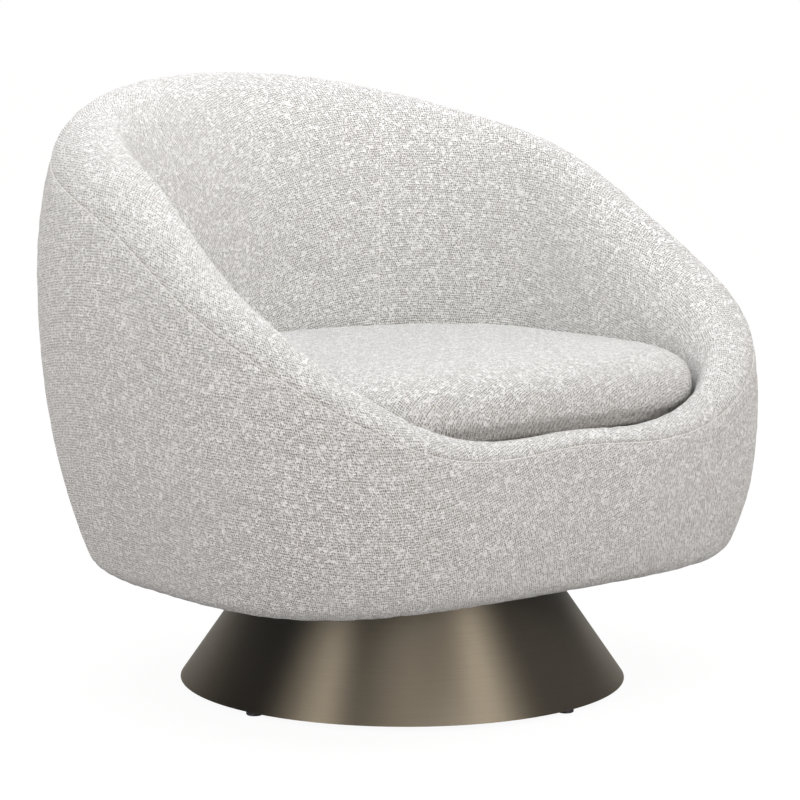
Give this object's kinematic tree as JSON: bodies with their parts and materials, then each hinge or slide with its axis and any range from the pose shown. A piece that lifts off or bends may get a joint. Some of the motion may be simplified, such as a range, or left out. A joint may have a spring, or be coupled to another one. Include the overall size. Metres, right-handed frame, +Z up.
{
  "type": "swivel armchair",
  "caption": "Rounded upholstered swivel armchair with a sloping one-piece rim, a loose seat cushion and a conical metal base.",
  "frame": {"origin": "on the floor below the middle of the upholstered shell; the swivel axis stands 57 mm in front of it", "axes": "+Z up, the seat opens towards -Y, +X is the right hand of a person who stands in front of the chair"},
  "size_m": [0.8096, 0.7199, 0.71],
  "materials": {
    "boucle": "cream boucle weave, matte, small raised loops",
    "bronze_sheet": "dark bronze, brushed round the cone, satin",
    "dark_steel": "black powder coat",
    "zinc_steel": "zinc plated",
    "nylon": "natural, matte",
    "glide_plastic": "dark grey, matte",
    "plywood": "raw plywood",
    "webbing": "elastic webbing, matte",
    "foam": "foam, matte",
    "black_cloth": "black non-woven dust cloth",
    "deck_cloth": "plain grey lining cloth",
    "zip_tape": "coil zip on woven tape",
    "zip_metal": "plated slider"
  },
  "bodies": {
    "base": {"base_cone": "bronze_sheet", "base_top_plate": "dark_steel", "glide_nuts": "zinc_steel", "swivel_lower_plate": "dark_steel", "ball_cage": "nylon", "swivel_balls": "zinc_steel", "swivel_rivet": "zinc_steel", "base_screws": "zinc_steel", "base_nuts": "zinc_steel"},
    "glide_1": {"glide_1_foot": "glide_plastic", "glide_1_stem": "zinc_steel"},
    "glide_2": {"glide_2_foot": "glide_plastic", "glide_2_stem": "zinc_steel"},
    "glide_3": {"glide_3_foot": "glide_plastic", "glide_3_stem": "zinc_steel"},
    "glide_4": {"glide_4_foot": "glide_plastic", "glide_4_stem": "zinc_steel"},
    "seat": {"swivel_upper_plate": "dark_steel", "riser": "plywood", "seat_bolts": "zinc_steel", "tee_nuts": "zinc_steel", "bottom_board": "plywood", "frame_rib_1": "plywood", "frame_rib_2": "plywood", "frame_rib_3": "plywood", "frame_rib_4": "plywood", "frame_rib_5": "plywood", "frame_rib_6": "plywood", "frame_rib_7": "plywood", "frame_rib_8": "plywood", "frame_rib_9": "plywood", "frame_rib_10": "plywood", "frame_rib_11": "plywood", "frame_rib_12": "plywood", "frame_top_rail": "plywood", "seat_ring": "plywood", "webbing_long": "webbing", "webbing_cross": "webbing", "deck_foam": "foam", "deck_cloth": "deck_cloth", "outer_padding": "foam", "inside_foam": "foam", "dust_cover": "black_cloth", "front_band_cover": "boucle", "outer_cover": "boucle", "front_lip_cover": "boucle", "left_inside_cover": "boucle", "back_inside_cover": "boucle", "right_inside_cover": "boucle"},
    "cushion": {"cushion_top_panel": "boucle", "cushion_base_panel": "boucle", "cushion_core": "foam", "cushion_zip": "zip_tape", "zip_slider": "zip_metal"}
  },
  "joints": [
    {"name": "seat_swivel", "type": "hinge", "parent": "base", "child": "seat", "pos_m": [0, -0.057, 0.128], "axis": [0, 0, 1], "continuous": true},
    {"name": "cushion_lift", "type": "slide", "parent": "seat", "child": "cushion", "axis": [0, 0, 1], "range_m": [0, 0.42]},
    {"name": "glide_1_height", "type": "slide", "parent": "base", "child": "glide_1", "axis": [0, 0, -1], "range_m": [0, 0.004]},
    {"name": "glide_2_height", "type": "slide", "parent": "base", "child": "glide_2", "axis": [0, 0, -1], "range_m": [0, 0.004]},
    {"name": "glide_3_height", "type": "slide", "parent": "base", "child": "glide_3", "axis": [0, 0, -1], "range_m": [0, 0.004]},
    {"name": "glide_4_height", "type": "slide", "parent": "base", "child": "glide_4", "axis": [0, 0, -1], "range_m": [0, 0.004]}
  ]
}
